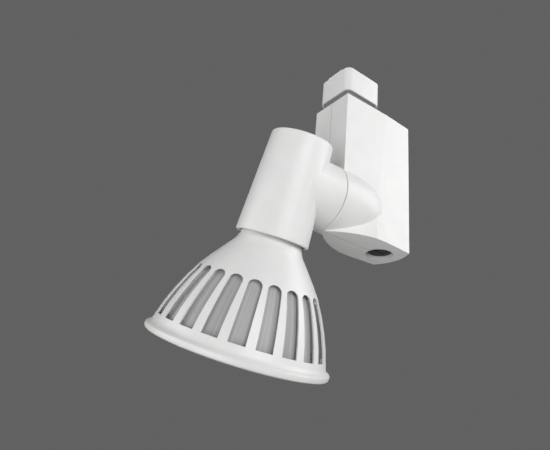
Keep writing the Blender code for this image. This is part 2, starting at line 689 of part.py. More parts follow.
def build_barrel():
    """Barrel and knuckle, one casting: open at the bottom, closed at the top."""
    profile = []
    for step in range(4):
        angle = pi / 2 * step / 3
        s = BARREL_TOP + BARREL_EDGE * (1 - sin(angle))
        profile.append((s, barrel_radius(s) - BARREL_EDGE * (1 - cos(angle))))
    profile.reverse()
    profile.append((BARREL_BOTTOM - 0.0005, barrel_radius(BARREL_BOTTOM - 0.0005)))
    profile.append((BARREL_BOTTOM, BARREL_BOTTOM_RADIUS - 0.0005))
    profile.sort()
    barrel = turned("barrel", profile, LAMP, BARREL_SIDES)
    reach = BARREL_OFFSET - SEAM_REACH
    knuckle_profile = (
        (-SEAM_GAP, SEAM_RADIUS - 0.0004),
        (-SEAM_GAP - 0.0004, SEAM_RADIUS),
        (-reach, KNUCKLE_END_RADIUS),
    )
    combine(barrel, "UNION", [turned("knuckle", knuckle_profile, TILT, BARREL_SIDES)])
    low = BARREL_TOP + BARREL_WALL
    high = BARREL_BOTTOM + 0.0010
    inside = ((low, barrel_radius(low) - BARREL_WALL), (high, barrel_radius(high) - BARREL_WALL))
    recess_depth = -SEAM_GAP - 0.0041
    recess = turned("recess", ((-reach, 0.0150), (recess_depth, 0.0150)), TILT, 32)
    bolt_hole = turned("bolt_hole", ((-0.010, BOLT_RADIUS + TOUCH), (0.010, BOLT_RADIUS + TOUCH)), TILT)
    seat_radius = FRICTION_RADIUS + 2 * TOUCH
    pad_seat = turned("pad_seat", ((-SEAM_GAP - 0.0010, seat_radius), (0.010, seat_radius)), TILT, 32)
    combine(barrel, "DIFFERENCE", [turned("inside", inside, LAMP, BARREL_SIDES), recess, bolt_hole, pad_seat])
    finish(barrel, "lampholder", WHITE)


def thread_profile(start, end, radius, depth):
    """Rings that stand in for a screw thread: (s, radius) pairs between start and end."""
    points = [(start, radius - depth)]
    turns = int((end - start) / THREAD_PITCH)
    for turn in range(turns):
        s = start + THREAD_PITCH * turn
        points.append((s + 0.30 * THREAD_PITCH, radius - depth))
        points.append((s + 0.65 * THREAD_PITCH, radius))
        points.append((s + THREAD_PITCH, radius - depth))
    points.append((end, radius - depth))
    return points


def build_socket():
    """Ceramic socket with its screw shell, centre contact, strap, screws and leads."""
    bore = THREAD_RADIUS + THREAD_CLEARANCE
    outside = bore + SOCKET_WALL
    body_profile = (
        (SOCKET_BACK, outside - 0.0010),
        (SOCKET_BACK + 0.0010, outside),
        (SOCKET_END, outside),
        (SOCKET_END, bore),
        (SOCKET_FLOOR, bore),
        (SOCKET_FLOOR, 0.0030),
        (SOCKET_BACK, 0.0030),
    )
    finish(turned("socket_body", body_profile, LAMP, 32, ring=True), "lampholder", CERAMIC)
    shell_start = BASE_START - 0.0015
    shell_end = SOCKET_END - 0.0010
    inner = thread_profile(shell_start, shell_end, THREAD_RADIUS + 0.0012, 0.0009)
    outer_radius = bore - TOUCH
    shell_profile = [(shell_start, outer_radius), *inner, (shell_end, outer_radius)]
    finish(turned("screw_shell", shell_profile, LAMP, 20, ring=True), "lampholder", BRASS, 0.3, 1.0)
    contact_profile = (
        (SOCKET_BACK + 0.0004, 0.0026),
        (SOCKET_FLOOR + GAP, 0.0026),
        (SOCKET_FLOOR + GAP, 0.0060),
        (BASE_TIP - 0.0012, 0.0060),
        (BASE_TIP - GAP, 0.0035),
    )
    finish(turned("centre_contact", contact_profile, LAMP, 16), "lampholder", BRASS, 0.3, 1.0)
    strap_s = SOCKET_BACK - TOUCH - 0.0006
    strap = block("socket_strap", (0, 0, strap_s), (0.0100, 0.0300, 0.0012), LAMP)
    hole = turned("hole", ((strap_s - 0.01, 0.0035), (strap_s + 0.01, 0.0035)), LAMP, 16)
    finish(combine(strap, "DIFFERENCE", [hole]), "lampholder", STEEL, 0.35, 1.0)
    for name, y in (("near", -0.0110), ("far", 0.0110)):
        frame = LAMP @ Matrix.Translation((0, y, strap_s - 0.0006 - TOUCH))
        profile = ((-0.0014, 0.0018), (-0.0010, 0.0024), (0.0, 0.0024))
        finish(turned(f"socket_screw_{name}", profile, frame, 16), "lampholder", STEEL, 0.35, 1.0)
    for name, y in (("live", -0.0025), ("neutral", 0.0025)):
        path = [
            (0.0275, y, 0.0),
            (0.0225, y, 0.0),
            (0.0208, y, -0.0045),
            (outside + 0.0018, y, -0.0110),
            (outside + 0.0013, y, -0.0220),
            (0.0150, y, -0.0254),
            (0.0085, y, -0.0258),
        ]
        points = [LAMP @ Vector(point) for point in path]
        lead_colour = BLACK if name == "live" else WHITE
        finish(wire(f"lead_socket_{name}", points, SOCKET_LEAD_RADIUS), "lampholder", lead_colour)


# Lamp

def shell_radius(s):
    """Outside radius of the lamp's shell, straight between the profile's points."""
    points = SHELL_PROFILE
    for (s0, r0), (s1, r1) in zip(points, points[1:]):
        if s <= s1:
            return r0 + (r1 - r0) * (s - s0) / (s1 - s0)
    return points[-1][1]


def slot_tool(index):
    """A radial cutter for one slot: round at the top, square at the bottom, a little wider at the bottom."""
    half_top = SLOT_TOP_WIDTH / 2
    half_bottom = SLOT_BOTTOM_WIDTH / 2
    outline = [(half_bottom, SLOT_END), (-half_bottom, SLOT_END)]
    rise = half_top * SLOT_TOP_RISE
    steps = 8
    for step in range(steps + 1):
        angle = pi * step / steps
        outline.append((-half_top * cos(angle), SLOT_START + rise * (1 - sin(angle))))
    turn = Matrix.Rotation(2 * pi * (index + 0.5) / SLOTS, 4, "Z")
    frame = LAMP @ turn @ Matrix.Rotation(pi / 2, 4, "Y") @ Matrix.Rotation(pi / 2, 4, "Z")
    return prism("slot", outline, 0.0352, 0.0620, frame)


def build_lamp_shell():
    """The slotted outer shell with its rounded lip."""
    outside = [*SHELL_PROFILE, *LIP_PROFILE]
    inside = [(s, radius - SHELL_WALL) for s, radius in reversed(SHELL_PROFILE)]
    seat = [(0.1126, 0.0570), (0.1078, 0.0570), (0.1078, 0.0524), (0.1048, 0.0524)]
    shell = turned("lamp_shell", [*outside, *seat, *inside], LAMP, ROUND, ring=True)
    slots = merged("slots", [slot_tool(index) for index in range(SLOTS)])
    finish(combine(shell, "DIFFERENCE", [slots]), "lamp", WHITE)


def build_lamp_core():
    """The cup behind the slots that carries the board, with one fin behind each rib."""
    stations = (0.0570, 0.0650, 0.0760, 0.0880, 0.1015)
    outside = [(s, shell_radius(s) - CORE_INSET) for s in stations]
    outside[0] = (stations[0], shell_radius(stations[0]) - SHELL_WALL - 2 * GAP)
    inside = [(s, radius - CORE_WALL) for s, radius in reversed(outside)]
    flange_start, flange_end, flange_radius = CORE_FLANGE
    outside.append((flange_start, outside[-1][1]))
    outside.append((flange_start, flange_radius))
    outside.append((flange_end, flange_radius))
    outside.append((flange_end, inside[0][1]))
    inside[-1] = (stations[0] + CORE_WALL, inside[-1][1] - CORE_WALL)
    back = [(stations[0] + CORE_WALL, 0.0040), (stations[0], 0.0040)]
    core = turned("lamp_core", [*outside, *inside, *back], LAMP, ROUND, ring=True)
    fins = []
    half = 0.0005
    for index in range(SLOTS):
        turn = Matrix.Rotation(2 * pi * index / SLOTS, 4, "Z")
        sides = []
        for y in (-half, half):
            inner = [(s, shell_radius(s) - CORE_INSET - 0.0008) for s in (0.0700, 0.0840, 0.1000)]
            outer = [(s, shell_radius(s) - SHELL_WALL - 0.0007) for s in (0.1000, 0.0840, 0.0700)]
            sides.append([LAMP @ turn @ Vector((radius, y, s)) for s, radius in inner + outer])
        fins.append(skin("fin", sides))
    combine(core, "UNION", [merged("fins", fins)])
    finish(core, "lamp", GREY)


def build_lamp_front():
    """Lens, its ring, the circuit board, its screws and its emitters."""
    lens_profile = (
        (LENS_START, LENS_RADIUS),
        (LENS_END - 0.0010, LENS_RADIUS),
        (LENS_END, 0.0350),
        (LENS_END + 0.0003, 0.0100),
    )
    lens = turned("front_lens", lens_profile, LAMP, ROUND)
    finish(lens, "lamp", (0.85, 0.88, 0.88), 0.08)
    ring_profile = (
        (0.1080, LENS_RADIUS + GAP),
        (0.1126, LENS_RADIUS + GAP),
        (0.1130, LENS_RADIUS + 0.0008),
        (0.1130, 0.0564),
        (0.1080, 0.0568),
    )
    finish(turned("lens_ring", ring_profile, LAMP, ROUND, ring=True), "lamp", WHITE)
    board = turned("circuit_board", ((BOARD_S, BOARD_RADIUS), (BOARD_S + 0.0016, BOARD_RADIUS)), LAMP, 36)
    finish(board, "lamp", WHITE)
    face = BOARD_S + 0.0016 + TOUCH
    for index in range(EMITTERS):
        angle = 2 * pi * index / EMITTERS
        frame = LAMP @ Matrix.Translation((EMITTER_RING * cos(angle), EMITTER_RING * sin(angle), face))
        profile = ((0, 0.0070), (0.0060, 0.0105), (0.0072, 0.0105))
        finish(turned(f"emitter_{index + 1}", profile, frame, 20), "lamp", (0.95, 0.90, 0.70), 0.2)
    for name, x in (("near", -0.0330), ("far", 0.0330)):
        frame = LAMP @ Matrix.Translation((x, 0, face))
        screw = turned(f"board_screw_{name}", ((0, 0.0024), (0.0012, 0.0024), (0.0017, 0.0016)), frame, 12)
        finish(screw, "lamp", STEEL, 0.35, 1.0)


def build_lamp_neck():
    """Driver cup with its board, and the screw base: shell, insulator and centre contact."""
    cup_profile = (
        (BASE_END + 0.0002, 0.0145),
        (0.0440, 0.0172),
        (0.0555, 0.0172),
        (0.0555, 0.0155),
        (0.0440, 0.0155),
        (BASE_END + 0.0020, 0.0125),
        (BASE_END + 0.0020, 0.0060),
        (BASE_END + 0.0002, 0.0060),
    )
    finish(turned("driver_cup", cup_profile, LAMP, 32, ring=True), "lamp", WHITE)
    driver = block("driver_board", (0, 0, 0.0340), (0.0220, 0.0016, 0.0380), LAMP)
    finish(driver, "lamp", (0.05, 0.30, 0.12))
    for name, s in (("capacitor", 0.0260), ("coil", 0.0430)):
        part = block(f"driver_{name}", (0, 0.0008 + TOUCH + 0.0035, s), (0.0090, 0.0070, 0.0110), LAMP)
        finish(part, "lamp", BLACK)
    crests = thread_profile(BASE_START, BASE_END - 0.0002, THREAD_RADIUS, THREAD_DEPTH)
    inner = THREAD_RADIUS - THREAD_DEPTH - 0.0006
    base_profile = [(BASE_START, inner), *crests, (BASE_END - 0.0002, inner)]
    finish(turned("base_shell", base_profile, LAMP, 20, ring=True), "lamp", STEEL, 0.25, 1.0)
    insulator_profile = (
        (BASE_START + 0.0010, inner - GAP),
        (BASE_START - TOUCH, inner - GAP),
        (BASE_START - TOUCH, 0.0110),
        (BASE_TIP + 0.0016, 0.0062),
        (BASE_TIP + 0.0016, 0.0048),
        (BASE_START + 0.0010, 0.0048),
    )
    finish(turned("base_insulator", insulator_profile, LAMP, SMALL, ring=True), "lamp", BLACK, 0.2)
    tip_profile = ((BASE_TIP, 0.0024), (BASE_TIP + 0.0006, 0.0046), (BASE_TIP + 0.0038, 0.0046))
    finish(turned("base_contact", tip_profile, LAMP, 16), "lamp", BRASS, 0.3, 1.0)


for old in list(bpy.data.objects):
    bpy.data.objects.remove(old)

build_head()
build_carrier()
build_blades()
build_collar()
build_housing()
build_wiring()
build_dimmer()
build_tilt_joint()
build_barrel()
build_socket()
build_lamp_shell()
build_lamp_core()
build_lamp_front()
build_lamp_neck()
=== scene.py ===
"""Looks of the track spotlight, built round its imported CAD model.

The CAD nodes keep their shapes. This script rounds their edges, gives each its finish, replaces the plain
front lens and the housing's screws with detailed ones, and sets up the floor, the light and the camera.
Metres, +Z up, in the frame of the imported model.
"""

import json
from math import cos, pi, radians, sin, sqrt, tau

import bmesh
import bpy
from mathutils import Euler, Matrix, Vector


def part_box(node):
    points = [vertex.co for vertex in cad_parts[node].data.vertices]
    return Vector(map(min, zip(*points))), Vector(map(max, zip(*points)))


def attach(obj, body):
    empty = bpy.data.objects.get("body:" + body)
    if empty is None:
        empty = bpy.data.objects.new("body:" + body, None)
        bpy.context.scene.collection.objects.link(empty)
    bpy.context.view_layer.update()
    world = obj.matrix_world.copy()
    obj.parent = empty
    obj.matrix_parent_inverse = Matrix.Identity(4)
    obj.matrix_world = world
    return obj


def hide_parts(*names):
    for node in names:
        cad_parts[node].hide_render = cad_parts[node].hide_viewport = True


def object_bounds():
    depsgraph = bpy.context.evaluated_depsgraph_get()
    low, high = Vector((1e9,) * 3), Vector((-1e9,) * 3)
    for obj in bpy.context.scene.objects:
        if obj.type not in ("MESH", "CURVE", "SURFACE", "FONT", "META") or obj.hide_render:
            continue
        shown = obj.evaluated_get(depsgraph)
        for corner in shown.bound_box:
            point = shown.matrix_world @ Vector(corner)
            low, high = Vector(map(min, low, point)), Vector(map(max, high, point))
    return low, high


# Camera: the photograph's place, direction and roll
CAMERA_PLACE = (-0.2263, -0.2484, -0.2757)
CAMERA_HEADING = radians(-34.27)    # turned from +Y towards +X
CAMERA_RISE = radians(24.17)        # looks up at the object
CAMERA_ROLL = radians(5.93)
CAMERA_LENS = 35.06                 # millimetres, on a sensor 36 wide

# Edges
WELD_DISTANCE = 1e-6
SMOOTH_ANGLE = radians(32)
BEVEL_ANGLE = radians(35)
CREASE_X = 0.0210                   # the broad sides change direction along this upright line
CREASE_REACH = 0.0002

# Front lens
CELL_PITCH = 0.0040                 # rows of pillow lenses
CELL_HEIGHT = 0.0006
CELLS_PER_ROW = 6                   # more in each next row outwards
STEPS_PER_CELL = 4
LENS_MARGIN = 0.0020                # plain rim round the cells
LENS_CHAMFER = 0.0006
LENS_CENTRE = 0.0010                # radius where the back's middle is closed
INWARDS = 1e-7                      # keeps a loop on a row's border inside that row

# Emitters
EMITTERS = 4
DIE_RADIUS = 0.0030                 # yellow up to here
CUP_RADIUS = 0.0052                 # bright from here on

# Textures
NOISE_LOW = 0.3                     # most noise values lie between these
NOISE_HIGH = 0.7
WAVE_PERIOD = pi / 10               # of the wave texture at scale 1
DIAL_RING_PITCH = 0.0016
DIAL_RING_HEIGHT = 0.00007
TRACK_SCALE = 160.0                 # circuit tracks: bricks to the metre
TRACK_GAP = 0.012                   # between tracks, as a share of a brick

# Finned core
# Streaks of painted shade and light on the core stand in for the shading of its fins.
FIN_SHADING_STREAK_ANGLE = 0.06                 # width of its streaks in radians round the lamp

# Housing screws
SCREW_SIDES = 48
SCREW_HEAD = 0.0017                 # height of the head
SCREW_SHANK = 0.5                   # radius of the shank, as a share of the head's
SCREW_DOME = 0.30                   # rounding of the head, as a share of its radius
SCREW_CROSS_ARM = 0.62
SCREW_CROSS_HALF = 0.13

# Lights: the way round from -Y towards +X and up from the object, and watts
LIGHT_DISTANCE = 1.5
LIGHT_SIZE = 1.0
LIGHTS = {
    "key": (radians(55), radians(25), 9.4),
    "front": (radians(-5), radians(8), 13.4),
    "side": (radians(-115), radians(5), 9.4),
    "low": (radians(-70), radians(-35), 6.6),
}
SURROUNDINGS = 0.12

# Floor
FLOOR_DROP = 1.10                   # floor below the object's lowest point
FLOOR_SIZE = 12.0

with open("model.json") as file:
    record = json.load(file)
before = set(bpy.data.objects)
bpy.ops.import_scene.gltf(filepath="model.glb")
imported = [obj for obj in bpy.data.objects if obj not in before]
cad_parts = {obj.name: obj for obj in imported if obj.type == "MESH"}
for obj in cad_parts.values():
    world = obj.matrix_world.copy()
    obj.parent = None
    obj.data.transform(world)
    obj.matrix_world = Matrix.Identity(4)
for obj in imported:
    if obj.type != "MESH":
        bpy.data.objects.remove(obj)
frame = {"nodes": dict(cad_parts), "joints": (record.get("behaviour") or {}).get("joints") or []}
cad_low, cad_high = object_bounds()
nodes = frame["nodes"]
joints = {joint["name"]: joint for joint in frame["joints"]}


# Lamp's own frame: local z runs out of the lamp's front

def lamp_frame():
    """Origin where the lamp turns, z along the lamp towards its front, x along the row frame's X."""
    joint = joints["lamp_turn"]
    along = Vector(joint["axis"]).normalized()
    across = Vector((1.0, 0.0, 0.0))
    third = along.cross(across)
    turn = Matrix((across, third, along)).transposed().to_4x4()
    return Matrix.Translation(Vector(joint["pos_m"])) @ turn


LAMP = lamp_frame()


def span_along_lamp(name):
    """(lowest s, highest s, largest radius) of a node in the lamp's frame."""
    inverse = LAMP.inverted()
    places = [inverse @ vertex.co for vertex in nodes[name].data.vertices]
    radius = max(sqrt(place.x ** 2 + place.y ** 2) for place in places)
    return min(place.z for place in places), max(place.z for place in places), radius


# Materials

def add_node(tree, kind, settings=(), **inputs):
    """A shader node with its settings and input values."""
    made = tree.nodes.new(kind)
    for key, value in dict(settings).items():
        setattr(made, key, value)
    for key, value in inputs.items():
        made.inputs[key.replace("_", " ")].default_value = value
    return made


def plain(name, colour, roughness, metallic=0.0):
    """A Principled material with the values that are the same all over."""
    made = bpy.data.materials.new(name)
    made.use_nodes = True
    shader = made.node_tree.nodes["Principled BSDF"]
    shader.inputs["Base Color"].default_value = (*colour, 1.0)
    shader.inputs["Roughness"].default_value = roughness
    shader.inputs["Metallic"].default_value = metallic
    return made


def shader_of(made):
    """The material's Principled shader."""
    return made.node_tree.nodes["Principled BSDF"]


def place_in(made, frame_matrix=None, stretch=(1.0, 1.0, 1.0)):
    """The output socket with the place in metres, in the given frame, stretched along its axes."""
    tree = made.node_tree
    where = add_node(tree, "ShaderNodeTexCoord").outputs["Object"]
    if frame_matrix is not None:
        local = add_node(tree, "ShaderNodeMapping", {"vector_type": "TEXTURE"})
        local.inputs["Location"].default_value = frame_matrix.to_translation()
        local.inputs["Rotation"].default_value = frame_matrix.to_euler()
        tree.links.new(where, local.inputs["Vector"])
        where = local.outputs["Vector"]
    scaled = add_node(tree, "ShaderNodeMapping", {"vector_type": "POINT"}, Scale=stretch)
    tree.links.new(where, scaled.inputs["Vector"])
    return scaled.outputs["Vector"]


def noise(made, where, size, detail=3.0):
    """Noise with lumps of about that size, in metres."""
    tree = made.node_tree
    made_noise = add_node(tree, "ShaderNodeTexNoise", Scale=1.0 / size, Detail=detail)
    tree.links.new(where, made_noise.inputs["Vector"])
    return made_noise.outputs["Fac"]


def remap(made, value, low, high):
    """A noise value spread over low to high."""
    tree = made.node_tree
    spread = {"From_Min": NOISE_LOW, "From_Max": NOISE_HIGH, "To_Min": low, "To_Max": high}
    mapped = add_node(tree, "ShaderNodeMapRange", **spread)
    tree.links.new(value, mapped.inputs["Value"])
    return mapped.outputs["Result"]


def tint(made, value, dark, light):
    """Base colour between two tones, by a noise value."""
    tree = made.node_tree
    ramp = tree.nodes.new("ShaderNodeValToRGB")
    ramp.color_ramp.elements[0].position = NOISE_LOW
    ramp.color_ramp.elements[1].position = NOISE_HIGH
    ramp.color_ramp.elements[0].color = (*dark, 1.0)
    ramp.color_ramp.elements[1].color = (*light, 1.0)
    tree.links.new(value, ramp.inputs["Fac"])
    tree.links.new(ramp.outputs["Color"], shader_of(made).inputs["Base Color"])


def relief(made, value, height):
    """Bump of that height in metres, over any bump that is there already."""
    tree = made.node_tree
    bump = add_node(tree, "ShaderNodeBump", Distance=height, Strength=1.0)
    tree.links.new(value, bump.inputs["Height"])
    normal = shader_of(made).inputs["Normal"]
    if normal.is_linked:
        tree.links.new(normal.links[0].from_socket, bump.inputs["Normal"])
    tree.links.new(bump.outputs["Normal"], normal)


def shade(colour, factor):
    """A colour made darker or lighter."""
    return tuple(min(channel * factor, 1.0) for channel in colour)


def powder_coat(name, colour, roughness=0.40):
    """Satin powder coat: a slight orange peel, with patches that vary a little in tone and gloss."""
    made = plain(name, colour, roughness)
    where = place_in(made)
    tint(made, noise(made, where, 0.018), shade(colour, 0.975), shade(colour, 1.02))
    gloss = remap(made, noise(made, where, 0.006), roughness - 0.05, roughness + 0.05)
    made.node_tree.links.new(gloss, shader_of(made).inputs["Roughness"])
    relief(made, noise(made, where, 0.0016, 2.0), 0.000030)
    relief(made, noise(made, where, 0.00035, 2.0), 0.000006)
    return made


def paint_with_fin_shading(name, colour):
    """Thin grey paint on the finned core, with soft streaks that run down the cone: painted shade and light
    that stand in for the shading of the core's fins.
    """
    made = plain(name, colour, 0.5)
    outward = add_node(made.node_tree, "ShaderNodeVectorMath", {"operation": "NORMALIZE"})
    made.node_tree.links.new(place_in(made, LAMP, (1.0, 1.0, 0.0)), outward.inputs[0])
    streaks = noise(made, outward.outputs["Vector"], FIN_SHADING_STREAK_ANGLE, 2.0)
    # Painted shade and light: the streaks make the grey darker and lighter where the fins would shade it.
    tint(made, streaks, shade(colour, 0.80), shade(colour, 1.22))
    relief(made, streaks, 0.000020)
    return made


def moulded(name, colour, roughness=0.35, grain=0.0005):
    """Moulded plastic: fine even grain, with faint flow marks."""
    made = plain(name, colour, roughness)
    where = place_in(made, stretch=(1.0, 1.0, 0.35))
    tint(made, noise(made, where, 0.010), shade(colour, 0.98), shade(colour, 1.015))
    gloss = remap(made, noise(made, where, 0.003), roughness - 0.04, roughness + 0.04)
    made.node_tree.links.new(gloss, shader_of(made).inputs["Roughness"])
    relief(made, noise(made, place_in(made), grain, 2.0), 0.000008)
    return made


def brushed(name, colour, roughness=0.30, stretch=(1.0, 1.0, 12.0)):
    """Metal with fine lines across one direction and a little tarnish."""
    made = plain(name, colour, roughness, 1.0)
    lines = noise(made, place_in(made, stretch=stretch), 0.0006, 4.0)
    stain = noise(made, place_in(made), 0.004)
    tint(made, stain, shade(colour, 0.86), shade(colour, 1.06))
    gloss = remap(made, lines, roughness - 0.08, roughness + 0.10)
    made.node_tree.links.new(gloss, shader_of(made).inputs["Roughness"])
    relief(made, lines, 0.000010)
    return made


def bisque(name, colour):
    """Unglazed white ceramic, with specks."""
    made = plain(name, colour, 0.55)
    where = place_in(made)
    tint(made, noise(made, where, 0.0015, 6.0), shade(colour, 0.90), shade(colour, 1.03))
    relief(made, noise(made, where, 0.0008, 5.0), 0.000025)
    return made


def rings_about(made, frame_matrix, pitch, height):
    """Fine turned rings about a frame's z, as bump."""
    tree = made.node_tree
    settings = {"wave_type": "RINGS", "rings_direction": "Z"}
    waves = add_node(tree, "ShaderNodeTexWave", settings, Scale=WAVE_PERIOD / pitch)
    tree.links.new(place_in(made, frame_matrix), waves.inputs["Vector"])
    relief(made, waves.outputs["Fac"], height)


def dial_plastic(name, colour, centre):
    """Black plastic with fine turned rings."""
    made = moulded(name, colour, 0.42)
    rings_about(made, Matrix.Translation(centre), DIAL_RING_PITCH, DIAL_RING_HEIGHT)
    return made


def insulation(name, colour):
    """Wire insulation: soft plastic with a dull bloom."""
    made = plain(name, colour, 0.55)
    where = place_in(made)
    tint(made, noise(made, where, 0.003), shade(colour, 0.85), shade(colour, 1.1))
    relief(made, noise(made, where, 0.0006), 0.000020)
    return made


def board_lacquer(name, colour):
    """Circuit board: lacquer over copper tracks that show as raised, lighter bands."""
    made = plain(name, colour, 0.30)
    tree = made.node_tree
    tracks = add_node(tree, "ShaderNodeTexBrick", Scale=TRACK_SCALE, Mortar_Size=TRACK_GAP)
    tree.links.new(place_in(made), tracks.inputs["Vector"])
    tracks.inputs["Color1"].default_value = (*shade(colour, 0.85), 1.0)
    tracks.inputs["Color2"].default_value = (*colour, 1.0)
    tracks.inputs["Mortar"].default_value = (*shade(colour, 1.25), 1.0)
    tree.links.new(tracks.outputs["Color"], shader_of(made).inputs["Base Color"])
    relief(made, tracks.outputs["Fac"], 0.00003)
    return made


def clear_plastic(name):
    """Clear acrylic, slightly frosted."""
    made = plain(name, (0.97, 0.98, 0.98), 0.12)
    shader = shader_of(made)
    shader.inputs["Transmission Weight"].default_value = 0.92
    shader.inputs["IOR"].default_value = 1.49
    frost = remap(made, noise(made, place_in(made), 0.0012), 0.08, 0.20)
    made.node_tree.links.new(frost, shader.inputs["Roughness"])
    return made


def phosphor(name, frame_matrix):
    """Yellow die in the middle of a bright reflector cup, by distance from the cup's line."""
    made = plain(name, (0.9, 0.9, 0.88), 0.25)
    tree = made.node_tree
    flat = place_in(made, frame_matrix, (1.0, 1.0, 0.0))
    distance = add_node(tree, "ShaderNodeVectorMath", {"operation": "LENGTH"})
    tree.links.new(flat, distance.inputs[0])
    near = add_node(tree, "ShaderNodeMapRange", From_Min=DIE_RADIUS, From_Max=CUP_RADIUS)
    tree.links.new(distance.outputs["Value"], near.inputs["Value"])
    ramp = tree.nodes.new("ShaderNodeValToRGB")
    ramp.color_ramp.elements[0].color = (0.95, 0.72, 0.12, 1.0)
    ramp.color_ramp.elements[1].color = (0.88, 0.88, 0.86, 1.0)
    tree.links.new(near.outputs["Result"], ramp.inputs["Fac"])
    tree.links.new(ramp.outputs["Color"], shader_of(made).inputs["Base Color"])
    relief(made, noise(made, place_in(made), 0.0004), 0.00002)
    return made


# Edges and shading of the CAD nodes

def edge_group():
    """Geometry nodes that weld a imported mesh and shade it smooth, except at sharp edges and the crease."""
    group = bpy.data.node_groups.new("weld_and_smooth", "GeometryNodeTree")
    group.interface.new_socket("Geometry", in_out="INPUT", socket_type="NodeSocketGeometry")
    group.interface.new_socket("Geometry", in_out="OUTPUT", socket_type="NodeSocketGeometry")
    start = group.nodes.new("NodeGroupInput")
    end = group.nodes.new("NodeGroupOutput")
    weld = group.nodes.new("GeometryNodeMergeByDistance")
    weld.inputs["Distance"].default_value = WELD_DISTANCE
    faces = group.nodes.new("GeometryNodeSetShadeSmooth")
    edges = group.nodes.new("GeometryNodeSetShadeSmooth")
    edges.domain = "EDGE"
    angle = group.nodes.new("GeometryNodeInputMeshEdgeAngle")
    gentle = add_node(group, "FunctionNodeCompare", {"operation": "LESS_THAN"}, B=SMOOTH_ANGLE)
    place = group.nodes.new("GeometryNodeInputPosition")
    split = group.nodes.new("ShaderNodeSeparateXYZ")
    near = add_node(group, "ShaderNodeMath", {"operation": "COMPARE"})
    near.inputs[1].default_value = CREASE_X
    near.inputs[2].default_value = CREASE_REACH
    off_crease = group.nodes.new("FunctionNodeBooleanMath")
    off_crease.operation = "NOT"
    both = group.nodes.new("FunctionNodeBooleanMath")
    both.operation = "AND"
    link = group.links.new
    link(start.outputs["Geometry"], weld.inputs["Geometry"])
    link(weld.outputs["Geometry"], faces.inputs["Geometry"])
    link(faces.outputs["Geometry"], edges.inputs["Geometry"])
    link(angle.outputs["Unsigned Angle"], gentle.inputs["A"])
    link(place.outputs["Position"], split.inputs["Vector"])
    link(split.outputs["X"], near.inputs[0])
    link(near.outputs["Value"], off_crease.inputs[0])
    link(gentle.outputs["Result"], both.inputs[0])
    link(off_crease.outputs["Boolean"], both.inputs[1])
    link(both.outputs["Boolean"], edges.inputs["Shade Smooth"])
    link(edges.outputs["Geometry"], end.inputs["Geometry"])
    return group


EDGES = edge_group()


def soften(obj, width, steps=2):
    """Smooth shading on round faces, and rounded edges of that width."""
    if "custom_normal" in obj.data.attributes:
        obj.data.attributes.remove(obj.data.attributes["custom_normal"])
    welded = obj.modifiers.new("weld_and_smooth", "NODES")
    welded.node_group = EDGES
    if width > 0:
        bevel = obj.modifiers.new("edges", "BEVEL")
        bevel.width = width
        bevel.segments = steps
        bevel.limit_method = "ANGLE"
        bevel.angle_limit = BEVEL_ANGLE
        bevel.harden_normals = True
        bevel.miter_outer = "MITER_ARC"


def dress(names, made, width=0.0, steps=2):
    """One finish and edge rounding for several CAD nodes."""
    for name in names:
        obj = nodes[name]
        obj.data.materials.clear()
        obj.data.materials.append(made)
        soften(obj, width, steps)


# Detailed pieces

def piece(name, mesh_work, made, body):
    """An object from a bmesh, with its finish, riding on a body."""
    mesh = bpy.data.meshes.new(name)
    bmesh.ops.recalc_face_normals(mesh_work, faces=mesh_work.faces)
    mesh_work.to_mesh(mesh)
    mesh_work.free()
    mesh.polygons.foreach_set("use_smooth", [True] * len(mesh.polygons))
    mesh.set_sharp_from_angle(angle=SMOOTH_ANGLE)
    mesh.materials.append(made)
    obj = bpy.data.objects.new(name, mesh)
    bpy.context.scene.collection.objects.link(obj)
    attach(obj, body)
    return obj


def skin(loops):
    """A bmesh through loops of equal length, with the first and the last loop filled."""
    work = bmesh.new()
    rows = [[work.verts.new(point) for point in loop] for loop in loops]
    for row, following in zip(rows, rows[1:]):
        for index, corner in enumerate(row):
            after = (index + 1) % len(row)
            work.faces.new((corner, row[after], following[after], following[index]))
    work.faces.new(rows[0])
    work.faces.new(rows[-1])
    return work


def circle(matrix, radius, height, sides):
    """Points round a frame's z. Radius and height are numbers, or functions of the angle."""
    points = []
    for index in range(sides):
        angle = tau * index / sides
        high = height(angle) if callable(height) else height
        points.append(matrix @ Vector((radius * cos(angle), radius * sin(angle), high)))
    return points


def cell_rise(radius, angle):
    """Height of the pillow lenses above the lens's face."""
    row = int(radius / CELL_PITCH)
    across = sin(pi * (radius / CELL_PITCH - row))
    if row == 0:
        return CELL_HEIGHT * cos(pi / 2 * radius / CELL_PITCH)
    round_it = abs(sin(CELLS_PER_ROW * row * angle / 2))
    return CELL_HEIGHT * sqrt(max(across * round_it, 0.0))


def build_lens(made):
    """The front lens: a flat back, a rim, and rows of pillow lenses over its face."""
    low, high, radius = span_along_lamp("front_lens")
    rows = int((radius - LENS_MARGIN) / CELL_PITCH)
    sides = rows * CELLS_PER_ROW * STEPS_PER_CELL
    face = high - CELL_HEIGHT
    loops = [circle(LAMP, LENS_CENTRE, low, sides), circle(LAMP, radius, low, sides)]
    loops.append(circle(LAMP, radius, face - LENS_CHAMFER, sides))
    loops.append(circle(LAMP, radius - LENS_CHAMFER, face, sides))
    for step in range(rows * STEPS_PER_CELL, 0, -1):
        reach = CELL_PITCH * step / STEPS_PER_CELL

        def height(angle, reach=reach):
            return face + cell_rise(reach - INWARDS, angle)

        loops.append(circle(LAMP, reach, height, sides))
    obj = piece("lens_optics", skin(loops), made, "lamp")
    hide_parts("front_lens")


def cross_reach(angle, arm, half):
    """Distance from the middle to the edge of a cross, with arms that long and that wide, halved."""
    folded = (angle + pi / 4) % (pi / 2) - pi / 4
    along = cos(folded)
    side = abs(sin(folded))
    if side * arm <= half * along:
        return arm / along
    return half / max(side, half / arm)


